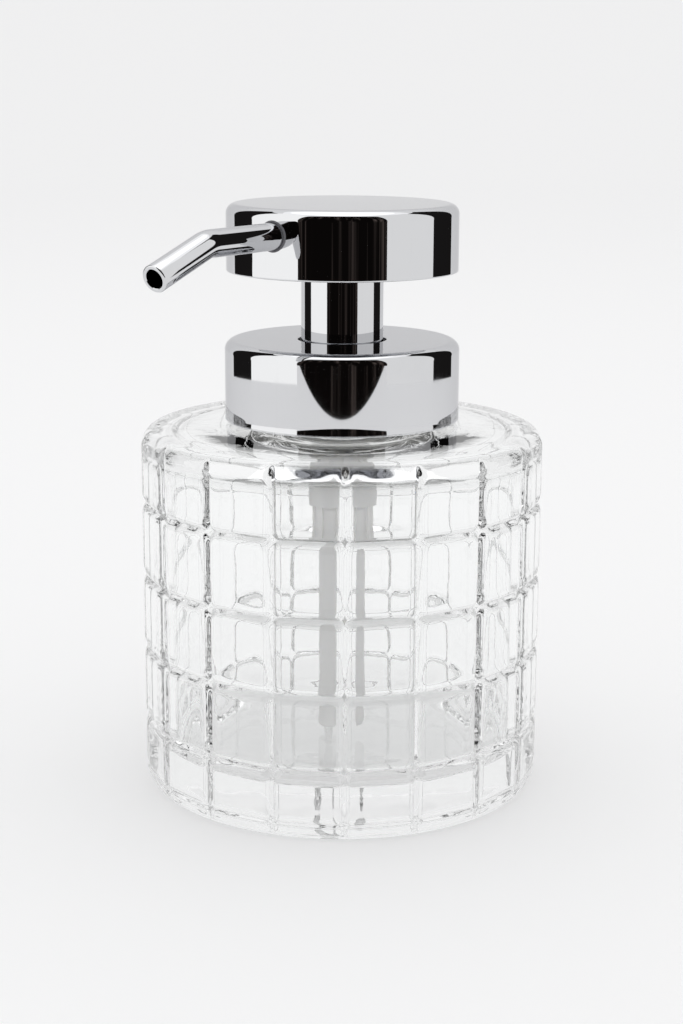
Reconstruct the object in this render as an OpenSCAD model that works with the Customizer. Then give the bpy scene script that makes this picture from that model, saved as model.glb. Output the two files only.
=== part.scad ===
// Soap pump dispenser: a pressed-glass bottle with a screwed-on, spring-return piston pump.
// The origin is on the bottle's axis, on the surface it stands on. The spout points along -Y.

/* [Bottle] */
// Diameter of the glass over the tile faces
bottle_d = 90; // [74:1:110]
// Height of the glass at the outer edge of the shoulder
body_h = 82; // [70:1:110]
// How far the shoulder rises from its outer edge to the neck
shoulder_rise = 1.2; // [0.6:0.1:3]
// Radius of the rounded edge of the shoulder
shoulder_round = 4; // [2:0.5:6]
// Radius of the rounded edge of the base
heel_round = 2.5; // [1:0.5:5]
// Thickness of the glass between tile face and inside
glass_wall = 4.5; // [3.5:0.1:6]
// Thickness of the glass under the shoulder
shoulder_wall = 3.4; // [2.5:0.1:5]
// Thickness of the solid glass base
base_t = 10; // [5:0.5:16]
// Radius between the inside wall and the inside floor
inner_round = 6; // [3:0.5:8]

/* [Tiles] */
// Tiles around the bottle
tile_columns = 18; // [12:1:24]
// Rows of tiles
tile_rows = 5; // [3:1:8]
// Width of the grooves between the tiles, at the tile faces
groove_w = 3.4; // [1.5:0.1:5]
// Width of the flat at the bottom of the grooves
groove_floor_w = 0.8; // [0.4:0.1:2]
// Depth of the grooves
groove_depth = 1.4; // [0.6:0.1:2]
// Turn of the grid from the direction of the spout
tile_turn = -4; // [-10:1:10]

/* [Neck and thread] */
// Thickness of the glass of the neck
neck_wall = 4.3; // [3:0.1:6]
// Rise of the thread in one turn
thread_lead = 4; // [3.5:0.1:5]
// Height of the thread ridge above its wall
thread_depth = 1.2; // [0.8:0.1:1.6]
// Width of a thread ridge at its root
thread_root_w = 1.4; // [1:0.1:1.5]
// Width of a thread ridge at its crest
thread_crest_w = 0.8; // [0.5:0.1:1]
// Length of each thread ridge, in degrees
thread_sweep = 450; // [360:15:540]
// Height of the lower end of the neck's thread ridge above the shoulder
thread_start = 5; // [4:0.1:5.5]

/* [Collar] */
// Height of the chromed collar
collar_h = 17.6; // [16:0.1:24]
// Thickness of the chromed collar
collar_wall = 0.8; // [0.6:0.1:1.2]
// Radius of the collar's top edge
collar_round = 2.2; // [1:0.1:3]
// Gap between the collar and the shoulder of the glass
collar_foot_gap = 0.5; // [0.3:0.1:1.5]
// Thickness of the closure's top web
closure_web = 1.8; // [1.4:0.1:3]
// Thickness of the closure's threaded skirt
closure_skirt = 2.1; // [1.5:0.1:3]
// Space between the closure's two skirts
closure_space = 2.4; // [1.5:0.1:5]
// Thickness of the closure's outer skirt
closure_rim = 1.5; // [1.2:0.1:2.5]
// Ribs between the closure's two skirts
closure_ribs = 12; // [6:1:24]

/* [Head] */
// Diameter of the disc head
head_d = 51.2; // [42:0.2:62]
// Height of the disc head
head_h = 14.7; // [12:0.1:20]
// Thickness of the head's chromed shell
head_wall = 0.9; // [0.7:0.1:1.4]
// Radius of the head's top edge
head_round = 2.2; // [1:0.1:3]
// Thickness of the plate under the head
plate_t = 1.2; // [0.8:0.1:2]
// How far that plate sits up inside the shell
plate_recess = 0.4; // [0.2:0.1:1]

/* [Stem] */
// Outer diameter of the chromed stem
stem_d = 18.2; // [15:0.1:24]
// Thickness of the chromed stem
stem_wall = 0.7; // [0.5:0.1:1]
// Length of stem seen between collar and head
stem_seen = 15.2; // [13:0.1:24]
// Length of stem inside the collar with the head up
stem_lap = 2.4; // [1.5:0.1:4]
// Gap round the stem where it enters the collar
stem_gap = 0.75; // [0.4:0.05:1.2]

/* [Spout] */
// Outer diameter of the spout
spout_d = 5.8; // [5:0.1:8]
// Bore of the spout
spout_bore = 4; // [2.5:0.1:5]
// Distance from the head's side to the start of the bend
spout_run = 20.3; // [12:0.1:40]
// Distance from the end of the bend to the tip
spout_drop_len = 15.7; // [8:0.1:30]
// Slope of the spout beyond the bend
spout_slope = 19; // [5:1:60]
// Radius of the bend along the spout's centre
spout_bend_r = 9; // [6:0.5:16]
// Height of the spout's centre above the bottom of the head
spout_lift = 9.1; // [7:0.1:12]
// Depth of the spout inside the head
spout_inset = 13.5; // [8:0.5:16]

/* [Pump] */
// Travel of the head
stroke = 11.5; // [8:0.5:13]
// Bore of the cylinder
cylinder_bore = 11.6; // [10:0.1:14]
// Wall of the cylinder
cylinder_wall = 1.4; // [1:0.1:2]
// Wall of the cup at the top of the housing
cup_wall = 1.5; // [1:0.1:2]
// Space between the stem and the cup
cup_gap = 1.1; // [0.6:0.1:2]
// Space between the cup and the neck's bore
neck_gap = 1.8; // [0.5:0.1:4]
// Thickness of the housing's flange
flange_t = 1.5; // [1:0.1:2.5]
// Thickness of the soft washer on the glass rim
gasket_t = 1; // [0.6:0.1:2]
// Diameter of the piston rod
rod_d = 6.4; // [5.5:0.1:8]
// Bore of the piston rod
rod_bore = 3.6; // [2.5:0.1:4]
// Height of the piston
piston_h = 4.2; // [3:0.1:6]
// Shift of the piston on the rod
piston_play = 1; // [0.6:0.1:1.6]
// Diameter of the check ball
ball_d = 4; // [3:0.1:5]
// Lift of the check ball
ball_rise = 1; // [0.5:0.1:2]
// Outer diameter of the dip tube
dip_d = 8; // [6:0.1:9]
// Wall of the dip tube
dip_wall = 0.8; // [0.5:0.1:1.5]
// Gap between the dip tube and the floor of the bottle
dip_gap = 2; // [1:0.5:6]
// Diameter of the spring's wire
wire_d = 1.1; // [0.8:0.1:1.3]
// Turns of the spring
spring_turns = 7; // [5:1:8]

/* [Hidden] */

$fn = 96;
eps = 0.02;            // overlap that lets joined shapes fuse
cut = 1;               // reach of a cutter past the face it opens
run_fit = 0.06;        // radial clearance of a part that slides in another
move_gap = 0.3;        // clearance between parts that move apart
thread_gap = 0.35;     // clearance between thread crest and facing wall
seat_gap = 0.1;        // clearance between flat faces that turn or land on each other

// Radii, from the stem outwards: stem, cup, neck, thread, closure, collar.
stem_r = stem_d / 2;
stem_in_r = stem_r - stem_wall;
cup_in_r = stem_r + cup_gap;
cup_out_r = cup_in_r + cup_wall;
neck_in_r = cup_out_r + neck_gap;
neck_r = neck_in_r + neck_wall;
closure_in_r = neck_r + thread_depth + thread_gap;
skirt_r = closure_in_r + closure_skirt;
rim_in_r = skirt_r + closure_space;
closure_r = rim_in_r + closure_rim;
collar_r = closure_r + collar_wall;
collar_hole_r = stem_r + stem_gap;
bottle_r = bottle_d / 2;
inside_r = bottle_r - glass_wall;
head_r = head_d / 2;
head_in_r = head_r - head_wall;

// Heights, from the shoulder up.
shoulder_z = body_h + shoulder_rise;
collar_z = shoulder_z + collar_foot_gap;
collar_top = collar_z + collar_h;
web_top = collar_top - collar_wall;
web_z = web_top - closure_web;
flange_top = web_z - seat_gap;
flange_z = flange_top - flange_t;
neck_top = flange_z - gasket_t;
head_z = collar_top + stem_seen;
head_top = head_z + head_h;
head_ceiling = head_top - head_wall;
plate_z = head_z + plate_recess;
plate_top = plate_z + plate_t;
spout_z = head_z + spout_lift;

// Heights, from the stem's lower end down.
stem_z = collar_top - stem_lap;
cap_base_t = 1.2;
cap_base_z = stem_z - stroke - 0.5 - cap_base_t;
cup_floor_t = 1.3;
stop_t = 0.6;
stop_z = cap_base_z - seat_gap - stop_t;
piston_z = stop_z - seat_gap - piston_play - piston_h;
rod_end_t = 1.5;
rod_end_z = piston_z - rod_end_t;
bore_floor_z = rod_end_z - stroke - move_gap;
cage_t = 0.8;
cage_z = bore_floor_z - cage_t;
seat_r = 0.65 * ball_d / 2;
ball_z = cage_z - seat_gap - ball_rise - ball_d / 2;
seat_z = ball_z - seat_gap - sqrt(pow(ball_d / 2, 2) - pow(seat_r, 2));
seat_t = 1;
socket_top = seat_z - seat_t;
socket_depth = 4;
socket_z = socket_top - socket_depth;

// Pump details.
bore_r = cylinder_bore / 2;
cylinder_r = bore_r + cylinder_wall;
rod_r = rod_d / 2;
guide_r = rod_r + 1.8;
guide_top = stem_z - 1.4;
wiper_h = 1.5;
wiper_r = rod_r + 1.1;
chamber_r = ball_d / 2 + 0.6;
cage_r = chamber_r + 0.8;
dip_r = dip_d / 2;
socket_r = dip_r + 1.4;
fin_r = socket_r + 0.8;
fin_w = 1;
lip_h = 1;
lip_r = fin_r + 0.6;
hub_z = guide_top + stroke + 0.8;
hub_r = rod_r + 2;
port_r = 0.7;
port_z = piston_z + 0.2 + port_r;

// Head details.
plug_z = hub_z + 3.2;
sleeve_top = plate_top + 1.5;
deck_t = 1.8;
boss_r = rod_r + 4;
core_r = head_in_r - 0.1;
core_rim_w = 1.8;
core_rim_drop = 1.6;
arm_w = spout_d + 4;
rib_w = 1.4;
rod_top = sleeve_top + deck_t + 1;
spout_r = spout_d / 2;
spout_in_r = spout_bore / 2;
bush_w = 0.45;
bush_proud = 0.15;
seal_r = 0.7;
seal_y = head_in_r - spout_inset + 3;

// Rows of tiles divide the wall between the heel and the rounded shoulder.
row_base = -heel_round * 0.4;
row_h = (body_h - row_base) / tile_rows;

// One trapezoid ridge, standing out of radius r: dir is 1 outwards and -1 inwards.
module ridge_section(r, dir) {
    root = r - dir * eps;
    crest = r + dir * thread_depth;
    polygon([
        [root, -thread_root_w / 2], [crest, -thread_crest_w / 2],
        [crest, thread_crest_w / 2], [root, thread_root_w / 2]
    ]);
}

// A thread ridge that climbs with the angle in short level steps. z is the height of its lower end.
module thread_ridge(r, dir, z) {
    step = 15;
    for (a = [0 : step : thread_sweep - step])
        translate([0, 0, z + thread_lead * (a + step / 2) / 360])
            rotate(a - 0.25)
                rotate_extrude(angle = step + 0.5) ridge_section(r, dir);
}

// A ring with square edges.
module ring(r_out, r_in, z0, z1) {
    translate([0, 0, z0]) difference() {
        cylinder(r = r_out, h = z1 - z0);
        translate([0, 0, -cut]) cylinder(r = r_in, h = z1 - z0 + 2 * cut);
    }
}

// The outline of an upside-down cup: radius r, from z0 up to z1, with a rounded top edge.
module cup_outline(r, z0, z1, round_r) {
    translate([0, z0]) square([r - round_r, z1 - z0]);
    translate([0, z0]) square([r, z1 - z0 - round_r]);
    translate([r - round_r, z1 - round_r]) intersection() {
        circle(round_r);
        square(round_r);
    }
}

// The outside of the glass before the tiles are cut.
module bottle_outline() {
    translate([0, heel_round]) square([bottle_r, body_h - heel_round - shoulder_round]);
    square([bottle_r - heel_round, body_h]);
    translate([bottle_r - heel_round, heel_round]) circle(heel_round);
    square([bottle_r - shoulder_round, body_h]);
    translate([bottle_r - shoulder_round, body_h - shoulder_round]) circle(shoulder_round);
    polygon([
        [0, body_h - eps], [bottle_r - shoulder_round, body_h - eps], [bottle_r - shoulder_round, body_h],
        [neck_r, shoulder_z], [0, shoulder_z]
    ]);
    square([neck_r, neck_top]);
}

// The hollow of the bottle: rounded floor and ceiling, then the bore of the neck.
module bottle_hollow() {
    top = body_h - shoulder_wall;
    flat_r = inside_r - inner_round;
    translate([0, base_t]) square([flat_r, top - base_t]);
    translate([0, base_t + inner_round]) square([inside_r, top - base_t - 2 * inner_round]);
    for (z = [base_t + inner_round, top - inner_round])
        translate([flat_r, z]) circle(inner_round);
    translate([0, top - cut]) square([neck_in_r, neck_top - top + 2 * cut]);
}

// The section of a groove, cut into a wall at radius r, at the height or width of zero.
module groove_section(r) {
    slope = (groove_w - groove_floor_w) / 2 / groove_depth;
    mouth = groove_w / 2 + slope * cut;
    polygon([
        [r - groove_depth, -groove_floor_w / 2], [r + cut, -mouth],
        [r + cut, mouth], [r - groove_depth, groove_floor_w / 2]
    ]);
}

module bottle() color("azure", 0.4) {
    difference() {
        rotate_extrude() bottle_outline();
        rotate_extrude() bottle_hollow();
        for (i = [1 : tile_rows - 1])
            rotate_extrude() translate([0, row_base + i * row_h]) groove_section(bottle_r);
        for (i = [0 : tile_columns - 1])
            rotate(-90 + tile_turn + i * 360 / tile_columns)
                translate([0, 0, -cut]) linear_extrude(body_h + 2 * cut) groove_section(bottle_r);
    }
    thread_ridge(neck_r, 1, shoulder_z + thread_start);
}

module collar_shell() color("silver") {
    difference() {
        rotate_extrude() cup_outline(collar_r, collar_z, collar_top, collar_round);
        rotate_extrude()
            cup_outline(closure_r, collar_z - cut, web_top, max(collar_round - collar_wall, 0.2));
        translate([0, 0, web_top - cut]) cylinder(r = collar_hole_r, h = collar_wall + 2 * cut);
    }
}

module closure_ring() color("ivory") {
    foot_z = collar_z + 0.8;
    corner = max(collar_round - collar_wall, 0.2);
    difference() {
        rotate_extrude() cup_outline(closure_r, foot_z, web_top, corner);
        translate([0, 0, foot_z - cut]) cylinder(r = closure_in_r, h = web_z - foot_z + cut);
        ring(rim_in_r, skirt_r, foot_z - cut, web_z);
        cylinder(r = collar_hole_r + 0.2, h = web_top + cut);
    }
    for (i = [0 : closure_ribs - 1])
        rotate(i * 360 / closure_ribs)
            translate([skirt_r - eps, -0.5, foot_z + 2]) cube([closure_space + 2 * eps, 1, web_z - foot_z - 2]);
    // It lies midway between two turns of the neck's thread.
    thread_ridge(closure_in_r, -1, shoulder_z + thread_start - thread_lead / 2);
}

module neck_gasket() color("gainsboro") ring(neck_r - 0.2, neck_in_r, neck_top, flange_z);

module pump_housing() color("whitesmoke", 0.7) {
    difference() {
        union() {
            ring(neck_r - 0.2, cup_in_r, flange_z, flange_top);
            ring(cup_out_r, cup_in_r, cap_base_z, flange_top);
            translate([0, 0, cap_base_z - cup_floor_t]) cylinder(r = cup_out_r, h = cup_floor_t);
            translate([0, 0, bore_floor_z - cylinder_wall])
                cylinder(r = cylinder_r, h = cap_base_z - bore_floor_z + cylinder_wall);
            translate([0, 0, socket_z]) cylinder(r = socket_r, h = bore_floor_z - socket_z);
            translate([0, 0, socket_z]) cylinder(r = lip_r, h = lip_h);
            for (i = [0 : 7])
                rotate(i * 45)
                    translate([socket_r - 0.4, -fin_w / 2, socket_z])
                        cube([fin_r - socket_r + 0.4, fin_w, bore_floor_z - cylinder_wall - socket_z + eps]);
        }
        translate([0, 0, bore_floor_z]) cylinder(r = bore_r, h = cap_base_z - bore_floor_z + cut);
        translate([0, 0, cage_z]) cylinder(r = cage_r, h = cage_t + cut);
        translate([0, 0, seat_z]) cylinder(r = chamber_r, h = cage_z - seat_z + cut);
        translate([0, 0, socket_top - cut]) cylinder(r = seat_r, h = seat_t + 2 * cut);
        translate([0, 0, socket_z - cut]) cylinder(r = dip_r, h = socket_depth + cut);
    }
}

module housing_cap() color("white") {
    difference() {
        union() {
            translate([0, 0, cap_base_z]) cylinder(r = cup_in_r, h = cap_base_t);
            translate([0, 0, cap_base_z]) cylinder(r = guide_r, h = guide_top - cap_base_z);
        }
        translate([0, 0, cap_base_z - cut])
            cylinder(r = rod_r + run_fit, h = guide_top - cap_base_z + 2 * cut);
        translate([0, 0, guide_top - wiper_h]) cylinder(r = wiper_r, h = wiper_h + cut);
    }
}

module rod_wiper() color("dimgray") ring(wiper_r, rod_r + run_fit, guide_top - wiper_h, guide_top);

// How far the spring's wire has climbed at fraction t of its length: the end turns lie nearly flat.
function spring_climb(t, rise, flat) =
    let (turn = t * spring_turns)
    turn < 1 ? flat * turn
    : turn > spring_turns - 1 ? rise - flat * (spring_turns - turn)
    : flat + (rise - 2 * flat) * (turn - 1) / (spring_turns - 2);

module return_spring() color("lightsteelblue") {
    seg = 16;
    sides = 6;
    count = seg * spring_turns;
    low = cap_base_z + cap_base_t + wire_d / 2;
    rise = hub_z - seat_gap - wire_d / 2 - low;
    coil_r = (guide_r + stem_in_r) / 2;
    points = [
        for (i = [0 : count], j = [0 : sides - 1])
            let (a = 360 * i / seg, b = 360 * j / sides, r = coil_r + wire_d / 2 * cos(b))
            [r * cos(a), r * sin(a), low + spring_climb(i / count, rise, 0.3 * wire_d) + wire_d / 2 * sin(b)]
    ];
    faces = concat(
        [[for (j = [0 : sides - 1]) j]],
        [for (i = [0 : count - 1], j = [0 : sides - 1])
            let (k = (j + 1) % sides)
            [i * sides + j, (i + 1) * sides + j, (i + 1) * sides + k, i * sides + k]],
        [[for (j = [sides - 1 : -1 : 0]) count * sides + j]]
    );
    polyhedron(points, faces, convexity = 10);
}

module ball_cage() color("whitesmoke") {
    ring(cage_r, chamber_r - 0.7, cage_z, bore_floor_z);
    for (a = [0, 90])
        rotate(a) translate([-chamber_r, -0.4, cage_z]) cube([2 * chamber_r, 0.8, cage_t]);
}

module inlet_ball() color("lightgray") translate([0, 0, ball_z]) sphere(r = ball_d / 2, $fn = 48);

module dip_tube() color("whitesmoke", 0.6) {
    foot = base_t + dip_gap;
    difference() {
        ring(dip_r, dip_r - dip_wall, foot, socket_top);
        translate([0, 0, foot]) rotate([45, 0, 0]) translate([-dip_d, 0, -dip_d]) cube([2 * dip_d, dip_d, dip_d]);
    }
}

module cross_port() translate([0, 0, port_z]) rotate([90, 0, 0]) cylinder(r = port_r, h = 2 * rod_d, center = true);

module piston_rod() color("white") {
    difference() {
        union() {
            translate([0, 0, piston_z]) cylinder(r = rod_r, h = rod_top - piston_z);
            translate([0, 0, stop_z]) cylinder(r = rod_r + 0.9, h = stop_t);
        }
        translate([0, 0, piston_z - cut]) cylinder(d = rod_bore, h = rod_top - piston_z + 2 * cut);
        cross_port();
    }
}

module piston() color("lightgray") {
    lip_t = 0.9;
    waist_r = bore_r - 1;
    difference() {
        union() {
            translate([0, 0, piston_z]) cylinder(r = waist_r, h = piston_h);
            for (z = [piston_z, piston_z + piston_h - lip_t])
                translate([0, 0, z]) cylinder(r = bore_r - run_fit, h = lip_t);
        }
        translate([0, 0, piston_z - cut]) cylinder(r = rod_r + run_fit, h = piston_h + 2 * cut);
    }
}

module rod_end() color("white") {
    spigot_h = 3.2;
    difference() {
        union() {
            translate([0, 0, rod_end_z]) cylinder(r = rod_r + 1.2, h = rod_end_t);
            translate([0, 0, rod_end_z]) cylinder(d = rod_bore, h = rod_end_t + spigot_h);
        }
        translate([0, 0, rod_end_z + rod_end_t]) cylinder(d = rod_bore - 1.4, h = spigot_h + cut);
        cross_port();
    }
}

module stem_sleeve() color("silver") ring(stem_r, stem_in_r, stem_z, sleeve_top);

module head_shell() color("silver") {
    difference() {
        rotate_extrude() cup_outline(head_r, head_z, head_top, head_round);
        rotate_extrude()
            cup_outline(head_in_r, head_z - cut, head_ceiling, max(head_round - head_wall, 0.2));
        translate([0, 0, spout_z]) rotate([90, 0, 0]) cylinder(r = spout_r + bush_w, h = head_r + cut);
    }
}

module head_base_plate() color("silver") ring(head_in_r, stem_r, plate_z, plate_top);

module head_core() color("ivory") {
    rim_top = head_ceiling - core_rim_drop;
    deck_top = sleeve_top + deck_t;
    difference() {
        union() {
            translate([0, 0, hub_z]) cylinder(r = hub_r, h = sleeve_top - hub_z + eps);
            translate([0, 0, plug_z]) cylinder(r = stem_in_r, h = sleeve_top - plug_z + eps);
            translate([0, 0, sleeve_top]) cylinder(r = core_r, h = deck_t);
            ring(core_r, core_r - core_rim_w, plate_top, rim_top);
            translate([0, 0, sleeve_top]) cylinder(r = boss_r, h = head_ceiling - sleeve_top);
            translate([-arm_w / 2, -core_r + core_rim_w / 2, deck_top - eps])
                cube([arm_w, core_r - core_rim_w / 2, head_ceiling - deck_top + eps - core_rim_drop]);
            for (i = [0 : 5])
                rotate(30 + i * 60)
                    translate([boss_r - cut, -rib_w / 2, deck_top - eps])
                        cube([core_r - boss_r + cut - core_rim_w / 2, rib_w, rim_top - deck_top - 1.5]);
        }
        translate([0, 0, hub_z - cut]) cylinder(r = rod_r + run_fit, h = rod_top + seat_gap - hub_z + cut);
        translate([0, 0, rod_top - cut]) cylinder(d = rod_bore, h = spout_z - rod_top + cut);
        translate([0, 0, spout_z]) rotate([90, 0, 0]) cylinder(d = rod_bore, h = head_in_r - spout_inset + cut);
        translate([0, -head_in_r + spout_inset, spout_z])
            rotate([90, 0, 0]) cylinder(r = spout_r, h = spout_inset + cut);
        translate([0, -seal_y + seal_r, spout_z])
            rotate([90, 0, 0]) cylinder(r = spout_r + 2 * seal_r, h = 2 * seal_r);
    }
}

// Half the outline of the spout's last straight piece, with its outer edge rounded.
module spout_tip_outline(len) {
    wall = spout_r - spout_in_r;
    round_r = 0.4 * wall;
    translate([spout_in_r, 0]) square([wall, len - round_r]);
    translate([spout_in_r, 0]) square([wall - round_r, len]);
    translate([spout_r - round_r, len - round_r]) circle(round_r, $fn = 32);
}

module spout_elbow(r) rotate_extrude(angle = spout_slope) translate([spout_bend_r, 0]) circle(r);

// Three tubes end to end: straight out of the head, round the bend, and down to the tip.
module spout_tube() color("silver") {
    inner_y = head_in_r - spout_inset;
    bend_y = head_r + spout_run;
    translate([0, -bend_y, spout_z]) {
        translate([0, bend_y - inner_y, 0]) rotate([90, 0, 0]) ring(spout_r, spout_in_r, 0, bend_y - inner_y);
        translate([0, 0, -spout_bend_r]) rotate([180, -90, 0]) difference() {
            spout_elbow(spout_r);
            spout_elbow(spout_in_r);
        }
        translate([0, -spout_bend_r * sin(spout_slope), -spout_bend_r * (1 - cos(spout_slope))])
            rotate([90 + spout_slope, 0, 0]) rotate_extrude() spout_tip_outline(spout_drop_len);
    }
}

module spout_bush() color("dimgray") {
    intersection() {
        translate([0, 0, spout_z]) rotate([90, 0, 0]) difference() {
            cylinder(r = spout_r + bush_w, h = head_r + cut);
            translate([0, 0, -cut]) cylinder(r = spout_r, h = head_r + 3 * cut);
        }
        ring(head_r + bush_proud, head_in_r, head_z, head_top);
    }
}

module spout_seal() color("black") {
    translate([0, -seal_y, spout_z]) rotate([90, 0, 0])
        rotate_extrude() translate([spout_r + seal_r, 0]) circle(seal_r, $fn = 32);
}

bottle();
collar_shell();
closure_ring();
neck_gasket();
pump_housing();
housing_cap();
rod_wiper();
return_spring();
ball_cage();
inlet_ball();
dip_tube();
piston_rod();
piston();
rod_end();
stem_sleeve();
head_shell();
head_core();
head_base_plate();
spout_tube();
spout_bush();
spout_seal();
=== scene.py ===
"""The looks of a soap pump dispenser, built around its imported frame.

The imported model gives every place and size. The pieces that show are turned, extruded and bent
here at a finer grain than the frame holds, and every piece gets a finish made of shader nodes.
"""

import logging
import math
import time
from contextlib import contextmanager
from dataclasses import dataclass, field
from enum import Enum
from functools import cache
from typing import Callable, Iterator, Sequence

import bmesh
import bpy
from bpy.types import Material, Node, NodeTree, Object
from bpy.types import NodeSocket as Socket
from mathutils import Matrix, Vector


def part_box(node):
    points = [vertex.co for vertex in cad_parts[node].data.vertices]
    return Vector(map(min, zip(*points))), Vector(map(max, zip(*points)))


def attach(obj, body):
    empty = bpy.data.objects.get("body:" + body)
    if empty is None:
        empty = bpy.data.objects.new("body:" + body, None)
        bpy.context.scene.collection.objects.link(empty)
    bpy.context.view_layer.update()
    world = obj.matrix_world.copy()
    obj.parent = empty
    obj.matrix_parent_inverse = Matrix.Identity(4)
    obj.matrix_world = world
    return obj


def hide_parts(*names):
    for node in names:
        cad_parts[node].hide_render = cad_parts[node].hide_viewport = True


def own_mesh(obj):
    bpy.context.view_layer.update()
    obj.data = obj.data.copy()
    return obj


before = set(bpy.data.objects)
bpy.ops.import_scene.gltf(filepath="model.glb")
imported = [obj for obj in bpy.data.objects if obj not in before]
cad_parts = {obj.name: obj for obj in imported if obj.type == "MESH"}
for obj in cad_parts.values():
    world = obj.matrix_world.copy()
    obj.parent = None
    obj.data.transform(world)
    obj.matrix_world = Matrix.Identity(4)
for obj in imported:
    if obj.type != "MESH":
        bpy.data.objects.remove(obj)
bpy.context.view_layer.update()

LOG = logging.getLogger("dispenser")
MM = 0.001
SAME = 1e-7  # two places closer than this, in metres, are one
FINE = 1e-9  # a change of size smaller than this isn't made
Point = tuple[float, float]
Colour = tuple[float, float, float]
Values = dict[str | int, Socket | float | Sequence[float]]


class Slot(Enum):
    """The record's material slots."""

    GLASS = "glass"
    CHROME = "chrome"
    NATURAL_PLASTIC = "natural_plastic"
    WHITE_PLASTIC = "white_plastic"
    SEAL_RUBBER = "seal_rubber"
    GASKET_FOAM = "gasket_foam"
    SPRING_STEEL = "spring_steel"
    BALL_STEEL = "ball_steel"


class Body(Enum):
    """The bodies of the frame that pieces ride on."""

    GLASS = "glass"
    ENGINE = "engine"
    COLLAR = "collar"
    HEAD = "head"


# Bench work: how a mesh is selected, turned on a lathe, and finished


def clear_selection() -> None:
    """Deselect every object, so that an operator acts only on what is made next."""
    bpy.ops.object.select_all(action="DESELECT")


def hold(obj: Object) -> None:
    """Make one object the only selected one, and the active one.

    Args:
        obj: The object to work on.
    """
    clear_selection()
    obj.select_set(True)
    bpy.context.view_layer.objects.active = obj


@contextmanager
def editing(obj: Object, whole: bool = False) -> Iterator[None]:
    """Hold an object in edit mode.

    Args:
        obj: The mesh object to edit.
        whole: Whether all of it starts selected, and not nothing.
    """
    hold(obj)
    bpy.ops.object.mode_set(mode="EDIT")
    bpy.ops.mesh.select_all(action="SELECT" if whole else "DESELECT")
    yield
    bpy.ops.object.mode_set(mode="OBJECT")


def pick(obj: Object, kind: str, wanted: Callable[..., bool] | Sequence[int]) -> None:
    """Select only some vertices or edges of the object in edit mode.

    Args:
        obj: The object in edit mode.
        kind: What is selected, VERT or EDGE.
        wanted: Their numbers, or a test of the places of a vertex or of an edge's two ends.
    """
    bpy.ops.mesh.select_mode(type=kind)
    bpy.ops.mesh.select_all(action="DESELECT")
    mesh = bmesh.from_edit_mesh(obj.data)
    mesh.verts.ensure_lookup_table()
    if not callable(wanted):
        chosen = [mesh.verts[number] for number in wanted]
    elif kind == "VERT":
        chosen = [vert for vert in mesh.verts if wanted(vert.co)]
    else:
        chosen = [edge for edge in mesh.edges if wanted(*(vert.co for vert in edge.verts))]
    for part in chosen:
        part.select_set(True)
    mesh.select_flush_mode()
    bmesh.update_edit_mesh(obj.data)


def apply_modifier(obj: Object, kind: str, **settings: object) -> None:
    """Add a modifier, set it and apply it.

    Args:
        obj: The object to change.
        kind: Blender's name for the modifier.
        **settings: The modifier's values.
    """
    hold(obj)
    modifier = obj.modifiers.new(kind.lower(), kind)
    for name, value in settings.items():
        setattr(modifier, name, value)
    bpy.ops.object.modifier_apply(modifier=modifier.name)


def merge_seams(obj: Object, reach: float = 1e-6) -> None:
    """Merge doubled vertices and turn every face outwards.

    Args:
        obj: The object to clean.
        reach: How close two vertices are to be merged, in metres.
    """
    with editing(obj, whole=True):
        bpy.ops.mesh.remove_doubles(threshold=reach)
        bpy.ops.mesh.normals_make_consistent(inside=False)


def settle(obj: Object, smooth_deg: float = 32.0) -> Object:
    """Put the object's place into its mesh and smooth what isn't a real edge.

    Args:
        obj: The finished object.
        smooth_deg: Faces that meet at less than this angle are shaded as one surface.

    Returns:
        The same object.
    """
    hold(obj)
    bpy.ops.object.transform_apply(location=True, rotation=True, scale=True)
    bpy.ops.object.shade_smooth_by_angle(angle=math.radians(smooth_deg))
    return obj


def arc(centre: Point, radius: float, start: float, end: float, steps: int = 8) -> list[Point]:
    """Points on an arc of an outline, at angles in degrees from the outward direction towards up."""
    angles = [math.radians(start + (end - start) * i / steps) for i in range(steps + 1)]
    return [(centre[0] + radius * math.cos(a), centre[1] + radius * math.sin(a)) for a in angles]


def held_edges(outline: Sequence[Point], reach: float = 0.15 * MM) -> list[Point]:
    """Add a point close to both ends of each long straight stretch, so that it is shaded flat.

    Args:
        outline: The outline's points.
        reach: How far from a stretch's end the added point lies.

    Returns:
        The outline with the added points.
    """
    held = [outline[0]]
    for (r0, z0), (r1, z1) in zip(outline, outline[1:]):
        length = math.hypot(r1 - r0, z1 - z0)
        if length > 6 * reach:
            share = reach / length
            held.append((r0 + (r1 - r0) * share, z0 + (z1 - z0) * share))
            held.append((r1 - (r1 - r0) * share, z1 - (z1 - z0) * share))
        held.append((r1, z1))
    return held


def circle(
    name: str, sides: int, radius: float, place: Sequence[float], tilt: float = 0.0, fill: str = "NOTHING"
) -> Object:
    """Add a ring of edges to be extruded or wound, or a flat disc.

    Args:
        name: The piece's name.
        sides: How many sides the ring has.
        radius: Its radius.
        place: Its centre.
        tilt: How far it is turned about X, in radians.
        fill: What fills it: NOTHING, or NGON for a disc.

    Returns:
        The ring, with its place in its mesh.
    """
    clear_selection()
    bpy.ops.mesh.primitive_circle_add(
        vertices=sides, radius=radius, fill_type=fill, location=place, rotation=(tilt, 0, 0)
    )
    obj = bpy.context.object
    obj.name = obj.data.name = name
    bpy.ops.object.transform_apply(location=True, rotation=True, scale=True)
    return obj


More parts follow.
